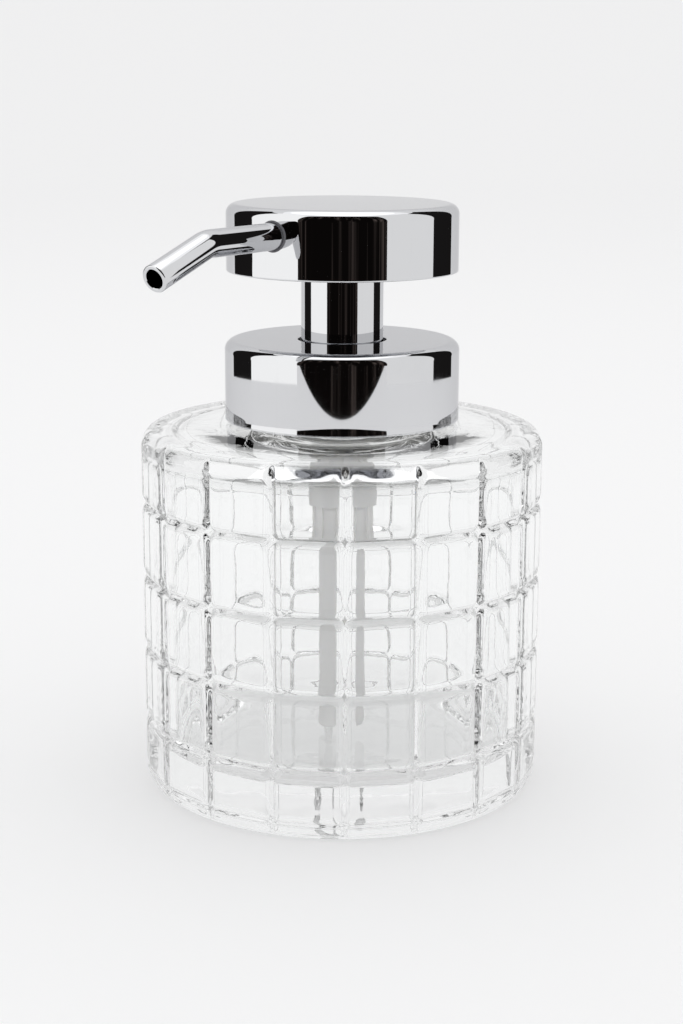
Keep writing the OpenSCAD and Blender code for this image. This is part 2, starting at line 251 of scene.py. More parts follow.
def turned(name: str, outline: Sequence[Point], sides: int = 256) -> Object:
    """Turn an outline about Z, ring by ring, into a closed mesh.

    Args:
        name: The piece's name.
        outline: Radius and height of each ring. It starts and ends on the axis, or ends where it starts.
        sides: How many sides each ring has.

    Returns:
        The turned object.
    """
    points = list(outline)
    opens_on_axis = points[0][0] <= 0
    first = points[1] if opens_on_axis else points[0]
    obj = circle(name, sides, first[0], (0, 0, first[1]))

    def extrude_rings(rings: Sequence[Point]) -> None:
        """Extrude the selected first ring through the given radii and heights."""
        radius, height = first
        for next_radius, next_height in rings:
            bpy.ops.mesh.extrude_region_move(
                TRANSFORM_OT_translate={"value": (0, 0, next_height - height)}
            )
            share = max(next_radius, 0.0) / radius
            if abs(share - 1) > FINE:
                bpy.ops.transform.resize(value=(share, share, 1), center_override=(0, 0, next_height))
            radius, height = next_radius, next_height
            if radius <= 0:
                break

    with editing(obj, whole=True):
        extrude_rings(points[2:] if opens_on_axis else points[1:])
        if opens_on_axis:
            pick(obj, "VERT", lambda co: abs(co.z - first[1]) < SAME and abs(co.xy.length - first[0]) < SAME)
            extrude_rings(points[:1])
    merge_seams(obj, 1e-6 if opens_on_axis else 2 * SAME)
    return obj


def coiled(obj: Object, turns: float, climb: float, steps: int) -> None:
    """Wind a closed outline about Z into a solid coil, and fill both its ends.

    Args:
        obj: The outline, beside the axis in the plane y = 0.
        turns: How many turns the coil has.
        climb: How far it rises in all.
        steps: How many pieces it is cut into.
    """
    apply_modifier(
        obj, "SCREW", angle=2 * math.pi * turns, screw_offset=climb, steps=steps, render_steps=steps, axis="Z"
    )
    with editing(obj):
        bpy.ops.mesh.select_mode(type="EDGE")
        bpy.ops.mesh.select_non_manifold(extend=False)
        bpy.ops.mesh.fill_holes(sides=0)
    merge_seams(obj, SAME)


@dataclass
class DrawnRing:
    """A ring of edges that is drawn along a path in the plane x = 0, leaving a tube behind it."""

    obj: Object
    radius: float
    centre: Vector
    dip: float = 0.0

    @classmethod
    def start(cls, name: str, radius: float, centre: Vector, sides: int = 96) -> "DrawnRing":
        """Make a ring that faces along -Y, named after the tube that it draws."""
        return cls(circle(name, sides, radius, centre, math.pi / 2), radius, centre.copy())

    def _ahead(self) -> Vector:
        """The direction that the ring faces."""
        return Vector((0, -math.cos(self.dip), -math.sin(self.dip)))

    def go(self, length: float, radius: float | None = None, steps: int = 1) -> None:
        """Draw the ring straight on, or back where the length is negative.

        Args:
            length: How far it goes along its own direction.
            radius: Its radius at the end, if that changes.
            steps: How many equal pieces the way has.
        """
        step = self._ahead() * (length / steps)
        for _ in range(steps):
            bpy.ops.mesh.extrude_region_move(TRANSFORM_OT_translate={"value": step})
            self.centre += step
        if radius is not None and abs(radius - self.radius) > FINE:
            share = radius / self.radius
            bpy.ops.transform.resize(value=(share, share, share), center_override=self.centre)
            self.radius = radius

    def bend(self, angle: float, pivot: Vector, steps: int = 16) -> None:
        """Draw the ring round a bend in the plane x = 0.

        Args:
            angle: How far it turns downwards, or back up where it is negative.
            pivot: The bend's centre.
            steps: How many pieces the bend has.
        """
        turn = angle / steps
        for _ in range(steps):
            bpy.ops.mesh.extrude_region_move(TRANSFORM_OT_translate={"value": (0, 0, 0)})
            # the operator turns the other way from the right-hand rule
            bpy.ops.transform.rotate(
                value=-turn, orient_axis="X", orient_type="GLOBAL", center_override=pivot
            )
            self.centre = pivot + Matrix.Rotation(turn, 3, "X") @ (self.centre - pivot)
            self.dip += turn

    def left_to(self, length: float, pivot: Vector) -> float:
        """How far the ring still has to go to be this length past its bend round this pivot."""
        return length - (self.centre - pivot).dot(self._ahead())


def box_outline(r_out: float, r_in: float, low: float, high: float, ease: float) -> list[Point]:
    """The closed outline of a square-edged ring with slightly eased edges.

    Args:
        r_out: Outer radius.
        r_in: Inner radius.
        low: Lowest height.
        high: Highest height.
        ease: Radius of all four edges.

    Returns:
        The outline's points, the last one on the first.
    """
    r_out, r_in, low, high = r_out - ease, r_in + ease, low + ease, high - ease
    corners = ((r_out, low, -90), (r_out, high, 0), (r_in, high, 90), (r_in, low, 180))
    points = [point for r, z, start in corners for point in arc((r, z), ease, start, start + 90, 4)]
    return [*points, points[0]]


# Finishes


@dataclass(frozen=True)
class Wiring:
    """A node tree, and the nodes that finishes are wired from."""

    tree: NodeTree

    def feed(self, node: Node, values: Values) -> None:
        """Give a node's inputs their values.

        Args:
            node: The node.
            values: What each input gets, a socket to be linked or a plain value to be set.
        """
        for label, value in values.items():
            if isinstance(value, Socket):
                self.tree.links.new(value, node.inputs[label])
            else:
                node.inputs[label].default_value = value

    def node(self, kind: str, values: Values | None = None, **options: object) -> Node:
        """Add a node.

        Args:
            kind: Blender's name for it, without the ShaderNode in front.
            values: What its inputs get.
            **options: The node's own options.

        Returns:
            The new node.
        """
        made = self.tree.nodes.new("ShaderNode" + kind)
        for name, option in options.items():
            setattr(made, name, option)
        self.feed(made, values or {})
        return made

    def place(self) -> Socket:
        """The coordinates of the object's own space."""
        return self.node("TexCoord").outputs["Object"]

    def noise(self, vector: Socket, scale: Socket | float, detail: float, rough: float) -> Socket:
        """A noise on these coordinates, with finer layers of this number and strength."""
        values = {"Vector": vector, "Scale": scale, "Detail": detail, "Roughness": rough}
        return self.node("TexNoise", values).outputs["Fac"]

    def span(
        self, value: Socket, low: float, high: float, to_low: float = 0.0, to_high: float = 1.0
    ) -> Socket:
        """Map a value from low and high to to_low and to_high, smoothly and clamped."""
        values = {"Value": value, "From Min": low, "From Max": high, "To Min": to_low, "To Max": to_high}
        return self.node("MapRange", values, interpolation_type="SMOOTHSTEP").outputs["Result"]

    def combine(self, operation: str, first: Socket, second: Socket) -> Socket:
        """Work out one value from two, by Blender's name for the sum."""
        return self.node("Math", {0: first, 1: second}, operation=operation).outputs[0]

    def tint(self, share: Socket, low: Socket | Colour, high: Colour) -> Socket:
        """Blend two colours by a value.

        Args:
            share: The value, 0 for low and 1 for high.
            low: The colour at 0.
            high: The colour at 1.

        Returns:
            The blended colour.
        """
        start = low if isinstance(low, Socket) else (*low, 1.0)
        values = {"Factor": share, "A": start, "B": (*high, 1.0)}
        return self.node("Mix", values, data_type="RGBA").outputs["Result"]

    def bump(self, height: Socket, strength: float, distance: float) -> Socket:
        """Turn a height of 0 to 1, a step of which is this distance in metres, into a normal."""
        values = {"Height": height, "Strength": strength, "Distance": distance}
        return self.node("Bump", values).outputs["Normal"]


def fresh_material(name: str) -> tuple[Material, Wiring, Node]:
    """Make a material of shader nodes.

    Args:
        name: The material's name.

    Returns:
        The material, its wiring, and its Principled shader.
    """
    made = bpy.data.materials.new(name)
    made.use_nodes = True
    return made, Wiring(made.node_tree), made.node_tree.nodes["Principled BSDF"]


class Effects:
    """Node groups that more than one finish uses, each built once."""

    @staticmethod
    def _new(name: str, inputs: dict[str, float], *outputs: str) -> tuple[Wiring, Node, Node]:
        """Start a group with number inputs and number outputs.

        Args:
            name: The group's name.
            inputs: Each input's name and default.
            *outputs: The names of the outputs.

        Returns:
            The group's wiring, its input node and its output node.
        """
        group = bpy.data.node_groups.new(name, "ShaderNodeTree")
        for label, default in inputs.items():
            socket = group.interface.new_socket(label, in_out="INPUT", socket_type="NodeSocketFloat")
            socket.default_value = default
        for label in outputs:
            group.interface.new_socket(label, in_out="OUTPUT", socket_type="NodeSocketFloat")
        return Wiring(group), group.nodes.new("NodeGroupInput"), group.nodes.new("NodeGroupOutput")

    @staticmethod
    @cache
    def handling() -> NodeTree:
        """Faint smears and hairlines of a polished surface that hands have touched.

        Returns:
            A group that puts out Haze, from 0 to 1, and Height.
        """
        inputs = {"Scale": 1.0, "Smear": 0.5, "Hairline": 0.5}
        wires, given, out = Effects._new("handling", inputs, "Haze", "Height")
        values = {0: wires.place(), "Scale": given.outputs["Scale"]}
        size = wires.node("VectorMath", values, operation="SCALE").outputs[0]
        drawn_out = wires.node("Mapping", {"Vector": size, "Scale": (900.0, 900.0, 60.0)}).outputs[0]
        smears = wires.span(wires.noise(size, scale=55.0, detail=4.0, rough=0.62), 0.5, 0.72)
        hairlines = wires.span(wires.noise(drawn_out, scale=1.0, detail=3.0, rough=0.6), 0.58, 0.75)
        smears = wires.combine("MULTIPLY", smears, given.outputs["Smear"])
        hairlines = wires.combine("MULTIPLY", hairlines, given.outputs["Hairline"])
        wires.feed(out, {"Haze": wires.combine("ADD", smears, hairlines), "Height": hairlines})
        return wires.tree

    @staticmethod
    @cache
    def moulded() -> NodeTree:
        """The cloudiness and fine tool grain of moulded plastic or rubber.

        Returns:
            A group that puts out Cloud and Grain, from 0 to 1.
        """
        inputs = {"Cloud Scale": 120.0, "Grain Scale": 2600.0}
        wires, given, out = Effects._new("moulded", inputs, "Cloud", "Grain")
        place = wires.place()
        cloud = wires.noise(place, given.outputs["Cloud Scale"], detail=3.0, rough=0.55)
        grain = wires.noise(place, given.outputs["Grain Scale"], detail=2.0, rough=0.5)
        wires.feed(out, {"Cloud": cloud, "Grain": grain})
        return wires.tree

    @staticmethod
    @cache
    def pressed_ripple() -> NodeTree:
        """The slow ripple and fine seed that pressed glass keeps from its mould.

        Returns:
            A group that puts out Height.
        """
        wires, given, out = Effects._new("pressed_ripple", {"Ripple": 1.0, "Seed": 0.25}, "Height")
        place = wires.place()
        slow = wires.noise(place, scale=95.0, detail=2.0, rough=0.45)
        fine = wires.noise(place, scale=420.0, detail=2.0, rough=0.5)
        slow = wires.combine("MULTIPLY", slow, given.outputs["Ripple"])
        fine = wires.combine("MULTIPLY", fine, given.outputs["Seed"])
        wires.feed(out, {"Height": wires.combine("ADD", slow, fine)})
        return wires.tree


@dataclass(frozen=True)
class Finish:
    """A surface finish. Each kind fills in the nodes between its effects and its shader."""

    label: str
    colour: Colour
    roughness: float

    def material(self) -> Material:
        """The Blender material, built the first time it is asked for.

        Returns:
            The finish's material.
        """
        made = bpy.data.materials.get(self.label)
        if made is None:
            made, wires, shader = fresh_material(self.label)
            wires.feed(shader, {"Base Color": (*self.colour, 1.0), "Roughness": self.roughness})
            self.dress(wires, shader)
        return made

    def dress(self, wires: Wiring, shader: Node) -> None:
        """Wire this kind's own nodes to the Principled shader."""
        raise NotImplementedError


@dataclass(frozen=True)
class PolishedMetal(Finish):
    """Chrome plate or bright steel, with faint smears and hairlines."""

    smear: float = 0.5
    hairline: float = 0.3
    edge: float = 0.78
    hazier: float = 0.09
    duller: float = 0.94
    scratch: float = 0.02 * MM

    def dress(self, wires: Wiring, shader: Node) -> None:
        """Roughen the mirror a little where it was touched."""
        values = {"Scale": 1.0, "Smear": self.smear, "Hairline": self.hairline}
        touch = wires.node("Group", values, node_tree=Effects.handling()).outputs
        dulled = tuple(self.duller * c for c in self.colour)
        wires.feed(shader, {
            "Metallic": 1.0,
            "Specular Tint": (self.edge, self.edge, 1.01 * self.edge, 1.0),
            "Roughness": wires.span(touch["Haze"], 0.0, 1.0, self.roughness, self.roughness + self.hazier),
            "Base Color": wires.tint(touch["Haze"], self.colour, dulled),
            "Normal": wires.bump(touch["Height"], 0.05, self.scratch),
        })


@dataclass(frozen=True)
class PressedGlass(Finish):
    """Clear soda-lime glass pressed in a mould."""

    ripple: float = 1.0
    seed: float = 0.05
    shade: float = 0.915
    smear: float = 0.6
    hazier: float = 0.03
    wave: float = 0.3 * MM

    def dress(self, wires: Wiring, shader: Node) -> None:
        """Let light through, bend it, and ripple the surface slowly."""
        values = {"Ripple": self.ripple, "Seed": self.seed}
        ripple = wires.node("Group", values, node_tree=Effects.pressed_ripple()).outputs["Height"]
        values = {"Smear": self.smear, "Hairline": 0.0}
        haze = wires.node("Group", values, node_tree=Effects.handling()).outputs["Haze"]
        wires.feed(shader, {
            "Transmission Weight": 1.0,
            "IOR": 1.5,
            "Roughness": wires.span(haze, 0.0, 1.0, self.roughness, self.roughness + self.hazier),
            "Normal": wires.bump(ripple, 0.35, self.wave),
        })
        path = wires.node("LightPath").outputs
        soft_ray = wires.combine("MAXIMUM", path["Is Shadow Ray"], path["Is Diffuse Ray"])
        clear = wires.node("BsdfTransparent", {"Color": (self.shade, self.shade, self.shade, 1.0)})
        mix = wires.node("MixShader", {0: soft_ray, 1: shader.outputs[0], 2: clear.outputs[0]})
        wires.feed(wires.tree.nodes["Material Output"], {"Surface": mix.outputs[0]})


@dataclass(frozen=True)
class MouldedPlastic(Finish):
    """Moulded plastic or rubber, from opaque to milky."""

    clearness: float = 0.0
    glow: float = 0.0
    glow_depth: Colour = (4.0 * MM, 3.8 * MM, 3.4 * MM)
    grain: float = 0.12
    grain_height: float = 0.05 * MM
    clouding: float = 0.1

    def dress(self, wires: Wiring, shader: Node) -> None:
        """Cloud the colour, vary the gloss, and add a fine tool grain."""
        values = {"Cloud Scale": 160.0, "Grain Scale": 2400.0}
        cast = wires.node("Group", values, node_tree=Effects.moulded()).outputs
        deeper = tuple((1 - self.clouding) * c for c in self.colour)
        rough = wires.span(cast["Cloud"], 0.25, 0.75, self.roughness - 0.06, self.roughness + 0.08)
        wires.feed(shader, {
            "IOR": 1.49,
            "Transmission Weight": self.clearness,
            "Subsurface Weight": self.glow,
            "Subsurface Radius": self.glow_depth,
            "Subsurface Scale": 1.0,
            "Base Color": wires.tint(cast["Cloud"], deeper, self.colour),
            "Roughness": rough,
            "Normal": wires.bump(cast["Grain"], self.grain, self.grain_height),
        })


FINISHES: dict[Slot, Finish] = {
    Slot.GLASS: PressedGlass("clear_pressed_glass", (0.995, 1.0, 0.998), 0.0, ripple=0.6),
    Slot.CHROME: PolishedMetal("chrome_plate", (0.68, 0.685, 0.70), 0.02, smear=0.35, hairline=0.2),
    Slot.NATURAL_PLASTIC: MouldedPlastic(
        "undyed_plastic", (0.97, 0.968, 0.955), 0.34, clearness=0.3, glow=0.3, clouding=0.03
    ),
    Slot.WHITE_PLASTIC: MouldedPlastic("white_plastic", (0.90, 0.90, 0.885), 0.42, glow=0.15, clouding=0.05),
    Slot.SEAL_RUBBER: MouldedPlastic("seal_rubber", (0.022, 0.022, 0.024), 0.62, grain=0.3),
    Slot.GASKET_FOAM: MouldedPlastic("gasket_foam", (0.78, 0.79, 0.78), 0.75, glow=0.1, grain=0.5),
    Slot.SPRING_STEEL: PolishedMetal("spring_wire", (0.52, 0.53, 0.55), 0.16, smear=0.2, hairline=0.9),
    Slot.BALL_STEEL: PolishedMetal("ball_steel", (0.60, 0.61, 0.63), 0.05, smear=0.4, hairline=0.1),
}


def dress_in(obj: Object, slot: Slot) -> None:
    """Give an object one finish all over.

    Args:
        obj: The object.
        slot: The slot whose finish it takes.
    """
    if not obj.material_slots:
        obj.data.materials.append(None)
    for holder in obj.material_slots:
        holder.material = FINISHES[slot].material()


# Sub-assemblies


@dataclass
class SubAssembly:
    """Pieces that are made together and ride on one body of the frame."""

    body: Body
    made: list[Object] = field(default_factory=list)

    def keep(self, obj: Object, slot: Slot, *nodes: str) -> None:
        """Dress a finished piece, let it ride, and let it stand for its CAD nodes.

        Args:
            obj: The finished piece.
            slot: The slot that its finish comes from.
            *nodes: The CAD nodes it replaces.
        """
        dress_in(obj, slot)
        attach(obj, self.body.value)
        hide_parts(*nodes)
        self.made.append(obj)

    def build(self) -> None:
        """Make and dress the pieces."""
        raise NotImplementedError

    def report(self) -> None:
        """Log each piece and how many faces it has."""
        for obj in self.made:
            LOG.info("%s on %s: %d faces", obj.name, self.body.value, len(obj.data.polygons))


def both_ways(steps: Sequence[float]) -> list[float]:
    """The steps downwards, zero, and the steps upwards, in order."""
    return [*(-step for step in reversed(steps)), 0.0, *steps]


@dataclass
class Bottle(SubAssembly):
    """The pressed-glass bottle with its grid of tiles."""

    columns: int = 18
    rows: int = 5
    turn_deg: float = -4.0
    sides_per_tile: int = 10
    row_base: float = -1.0 * MM
    row_height: float = 16.6 * MM
    groove_depth: float = 1.45 * MM
    groove_fade: float = 0.6
    groove_crease: float = 0.7
    groove_steps: tuple[float, ...] = (0.6 * MM, 1.3 * MM, 2.4 * MM, 4.6 * MM)
    tile_offsets: tuple[float, ...] = (0.75, 1.6, 3.0, 6.2)
    edge_deg: float = 3.0
    edge_reach: float = 0.5 * MM
    corner_r: float = 2.2 * MM
    flatness: float = 0.9
    punt: tuple[Point, ...] = (
        (0.0, 0.5 * MM), (12.0 * MM, 0.5 * MM), (30.0 * MM, 0.45 * MM), (35.0 * MM, 0.3 * MM),
        (36.5 * MM, 0.0), (39.0 * MM, 0.0),
    )
    heel_in: float = 2.9 * MM
    heel_round: float = 2.0 * MM
    heel_line: float = 4.3 * MM
    heel_dent: float = 0.45 * MM
    heel_dent_width: float = 0.6 * MM
    heel_steps: tuple[float, ...] = (0.5 * MM, 1.1 * MM)
    heel_top: float = 7.5 * MM
    wall: float = 4.5 * MM
    base: float = 10.0 * MM
    floor_round: float = 6.0 * MM
    ceiling: float = 78.6 * MM
    roof_round: float = 5.0 * MM
    body_height: float = 82.0 * MM
    shoulder: float = 83.2 * MM
    shoulder_round: float = 4.0 * MM
    neck_r: float = 17.8 * MM
    neck_foot: float = 1.0 * MM
    lip_round: float = 1.2 * MM
    bore_r: float = 13.5 * MM
    bore_foot: float = 2.0 * MM
    thread_lead: float = 4.0 * MM
    thread_turns: float = 1.25
    thread_depth: float = 1.2 * MM
    thread_start: float = 5.0 * MM
    thread_sunk: float = 0.4 * MM
    thread_root: float = 0.7 * MM
    thread_crest: float = 0.4 * MM
    thread_ease: float = 0.15 * MM

    def _grooves(self) -> list[float]:
        """The heights of the level grooves."""
        return [self.row_base + row * self.row_height for row in range(1, self.rows)]

    def _side_rings(self, radius: float) -> list[Point]:
        """The rings up the tiled side, from the heel to the shoulder.

        Args:
            radius: The radius over the tile faces.

        Returns:
            The radius and height of each ring, in order.
        """
        heights = [self.heel_line + side for side in both_ways(self.heel_steps)]
        heights.append(self.heel_top)
        for z in self._grooves():
            heights += [z + side for side in both_ways(self.groove_steps)]
            heights.append(z + 0.5 * self.row_height)
        return [(radius, z) for z in heights]

    def _outline(self, radius: float, lip: float) -> list[Point]:
        """The whole outline of the glass, from the middle of its underside round to its inside floor.

        Args:
            radius: The radius over the tile faces.
            lip: The height of the neck's rim.

        Returns:
            The outline's points.
        """
        inner = radius - self.wall
        shoulder_centre = (radius - self.shoulder_round, self.body_height - self.shoulder_round)
        neck_centre = (self.neck_r + self.neck_foot, self.shoulder + self.neck_foot)
        bore_centre = (self.bore_r + self.bore_foot, self.ceiling + self.bore_foot)
        return [
            *self.punt,
            *arc((radius - self.heel_in, self.heel_round), self.heel_round, -90, -8, 5),
            *self._side_rings(radius),
            *arc(shoulder_centre, self.shoulder_round, 0, 90, 6),
            (0.6 * radius, self.body_height + 0.45 * (self.shoulder - self.body_height)),
            (self.neck_r + 2 * self.neck_foot, self.shoulder - 0.1 * MM),
            *arc(neck_centre, self.neck_foot, 270, 180, 3),
            (self.neck_r, 0.5 * (self.shoulder + lip)),
            *arc((self.neck_r - self.lip_round, lip - self.lip_round), self.lip_round, 0, 90, 4),
            *arc((self.bore_r + self.lip_round, lip - self.lip_round), self.lip_round, 90, 180, 4),
            (self.bore_r, 0.5 * (self.ceiling + lip)),
            *arc(bore_centre, self.bore_foot, 180, 270, 4),
            (0.5 * (self.bore_r + inner), self.ceiling),
            *arc((inner - self.roof_round, self.ceiling - self.roof_round), self.roof_round, 90, 0, 5),
            *((inner, share * self.ceiling) for share in (0.8, 0.6, 0.4)),
            *arc((inner - self.floor_round, self.base + self.floor_round), self.floor_round, 0, -90, 6),
            (0.62 * inner, self.base), (0.3 * inner, self.base), (0.0, self.base),
        ]

    def _from_groove(self, co: Vector) -> float:
        """How far round a place is from the nearest upright groove.

        Args:
            co: The place.

        Returns:
            The angle in degrees, positive on the left of the groove and negative on its right.
        """
        tile = 360.0 / self.columns
        angle = math.degrees(math.atan2(co.y, co.x)) + 90.0 - self.turn_deg
        return (angle + tile / 2) % tile - tile / 2

    def _pressed_radius(self, radius: float, off_deg: float, z: float) -> float:
        """The radius of the tiled side at one place.

        Args:
            radius: The radius over the tile faces.
            off_deg: How far round the place is from the nearest upright groove, in degrees.
            z: Its height.

        Returns:
            The radius there, lower in the grooves and a little lower in the middle of a tile.
        """
        half = 180.0 / self.columns
        flat = math.cos(math.radians(half - self.edge_deg)) / math.cos(math.radians(half - off_deg))
        face = radius * (1 - self.flatness * (1 - min(flat, 1.0)))
        across = math.radians(off_deg) * radius
        along = min(abs(z - groove) for groove in self._grooves())
        qx, qz = self.corner_r - across, self.corner_r - along
        inside = self.corner_r - math.hypot(max(qx, 0.0), max(qz, 0.0)) - min(max(qx, qz), 0.0)
        fade = 1.1 * self.shoulder_round
        up_shoulder = (z - (self.body_height - fade)) / fade
        down_heel = (self.heel_line - z) / self.heel_line
        depth = self.groove_depth * (1 - self.groove_fade * min(max(up_shoulder, 1.4 * down_heel, 0.0), 1.0))
        heel = self.heel_dent * math.exp(-(((z - self.heel_line) / self.heel_dent_width) ** 2))
        return face - max(depth * math.exp(-max(inside, 0.0) / self.edge_reach), heel)

    def _slide_lines(self, obj: Object, step: float) -> None:
        """Bring the upright lines of each tile close to the grooves, where the shape changes.

        Args:
            obj: The turned glass, in edit mode.
            step: The angle between two upright lines, in degrees.
        """
        for number, off in enumerate(self.tile_offsets, start=1):
            for side in (1, -1):

                def on_line(co: Vector, line: float = side * number * step) -> bool:
                    """Whether a place is on this upright line, this side of its groove."""
                    return co.xy.length > 0.1 * MM and abs(self._from_groove(co) - line) < step / 4

                pick(obj, "VERT", on_line)
                # the operator turns the other way from the right-hand rule
                bpy.ops.transform.rotate(
                    value=math.radians(side * (number * step - off)), orient_axis="Z",
                    orient_type="GLOBAL", center_override=(0, 0, 0),
                )

    def _press_tiles(self, obj: Object, radius: float) -> None:
        """Flatten each tile's face and press the grooves between the tiles.

        Args:
            obj: The turned glass.
            radius: The radius over the tile faces.
        """
        step = 360.0 / self.columns / self.sides_per_tile
        bottom = radius - self.groove_depth
        with editing(obj):
            self._slide_lines(obj, step)
            groups: dict[tuple[float, float], list[int]] = {}
            for vert in bmesh.from_edit_mesh(obj.data).verts:
                ring_r = vert.co.xy.length
                if ring_r > bottom - 0.2 * MM and vert.co.z > 0.2 * MM:
                    off = round(abs(self._from_groove(vert.co)), 2)
                    target = self._pressed_radius(radius, off, vert.co.z)
                    if target < ring_r - SAME:
                        groups.setdefault((round(ring_r, 7), round(target, 7)), []).append(vert.index)
            for (ring_r, target), numbers in groups.items():
                pick(obj, "VERT", numbers)
                share = target / ring_r
                bpy.ops.transform.resize(value=(share, share, 1), center_override=(0, 0, 0))
            highest = bottom + 0.15 * MM

            def along_groove(a: Vector, b: Vector) -> bool:
                """Whether an edge runs along the bottom of a groove."""
                if not all(highest - 1.0 * MM <= co.xy.length <= highest for co in (a, b)):
                    return False
                upright = all(abs(self._from_groove(co)) < step / 4 for co in (a, b))
                return upright or any(max(abs(a.z - z), abs(b.z - z)) < 1e-6 for z in self._grooves())

            pick(obj, "EDGE", along_groove)
            bpy.ops.transform.edge_crease(value=self.groove_crease)

    def _thread(self, start_z: float) -> Object:
        """The ridge of thread on the neck.

        Args:
            start_z: Height of the ridge's lower end.

        Returns:
            The ridge, a closed mesh whose root lies inside the neck.
        """
        clear_selection()
        bpy.ops.mesh.primitive_plane_add(size=1.0, location=(0, 0, 0))
        obj = bpy.context.object
        obj.name = "neck_thread"
        depth = self.thread_depth + self.thread_sunk
        with editing(obj, whole=True):
            bpy.ops.transform.resize(value=(depth, 2 * self.thread_root, 1), center_override=(0, 0, 0))
            pick(obj, "VERT", lambda co: co.x > 0)
            taper = self.thread_crest / self.thread_root
            bpy.ops.transform.resize(value=(1, taper, 1), center_override=(0, 0, 0))
            bpy.ops.mesh.select_all(action="SELECT")
            bpy.ops.mesh.bevel(offset=self.thread_ease, segments=2, affect="VERTICES")
            bpy.ops.mesh.select_all(action="SELECT")
            bpy.ops.mesh.delete(type="ONLY_FACE")
        obj.rotation_euler = (math.pi / 2, 0, 0)
        obj.location = (self.neck_r + (self.thread_depth - self.thread_sunk) / 2, 0, start_z)
        hold(obj)
        bpy.ops.object.transform_apply(location=True, rotation=True, scale=True)
        coiled(obj, self.thread_turns, self.thread_lead * self.thread_turns, 96)
        return obj

    def build(self) -> None:
        """Turn the glass, press its tiles, smooth it and cut its thread."""
        _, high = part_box("bottle")
        glass = turned("bottle_glass", self._outline(high.x, high.z), self.columns * self.sides_per_tile)
        self._press_tiles(glass, high.x)
        apply_modifier(glass, "SUBSURF", levels=1, render_levels=1, use_limit_surface=False)
        thread = self._thread(self.shoulder + self.thread_start)
        apply_modifier(glass, "BOOLEAN", operation="UNION", object=thread, solver="EXACT")
        bpy.data.objects.remove(thread)
        merge_seams(glass, 5 * SAME)
        self.keep(settle(glass, 60.0), Slot.GLASS, "bottle")


@dataclass
class Collar(SubAssembly):
    """The chromed collar that covers the plastic closure."""

    wall: float = 0.8 * MM
    top_round: float = 2.2 * MM
    foot_ease: float = 0.2 * MM
    hole_edge: float = 0.2 * MM
    hole_gap: float = 0.75 * MM
    flare_height: float = 1.9 * MM
    flare_slope: float = 0.074

    def _flare(self, r: float, low: float) -> list[Point]:
        """The outer wall's foot, which opens very slightly towards its lower edge.

        Args:
            r: The collar's radius.
            low: Where the flare starts, just above the collar's lower edge.

        Returns:
            The flare's points, from low upwards.
        """
        shares = [step / 6 for step in range(7)]
        spread = self.flare_slope * self.flare_height
        return [(r - spread * (t - t * t / 2), low + t * self.flare_height) for t in shares]

    def build(self) -> None:
        """Turn the collar's shell."""
        low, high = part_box("collar_shell")
        r, hole, ease = high.x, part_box("stem_sleeve")[1].x + self.hole_gap, self.foot_ease
        foot = self._flare(r, low.z + ease)
        round_z = high.z - self.top_round
        outline = [
            *arc((r - ease, low.z + ease), ease, -60, -20, 2),
            *foot,
            *arc((foot[-1][0] - self.top_round, round_z), self.top_round, 0, 90, 12),
            *arc((hole + self.hole_edge, high.z - self.hole_edge), self.hole_edge, 90, 180, 3),
            (hole, high.z - self.wall),
            *arc((r - self.top_round, round_z), self.top_round - self.wall, 90, 0, 6),
            (r - self.wall, low.z + ease),
        ]
        shell = turned("collar_cover", held_edges([*outline, outline[0]]), 288)
        self.keep(settle(shell), Slot.CHROME, "collar_shell")


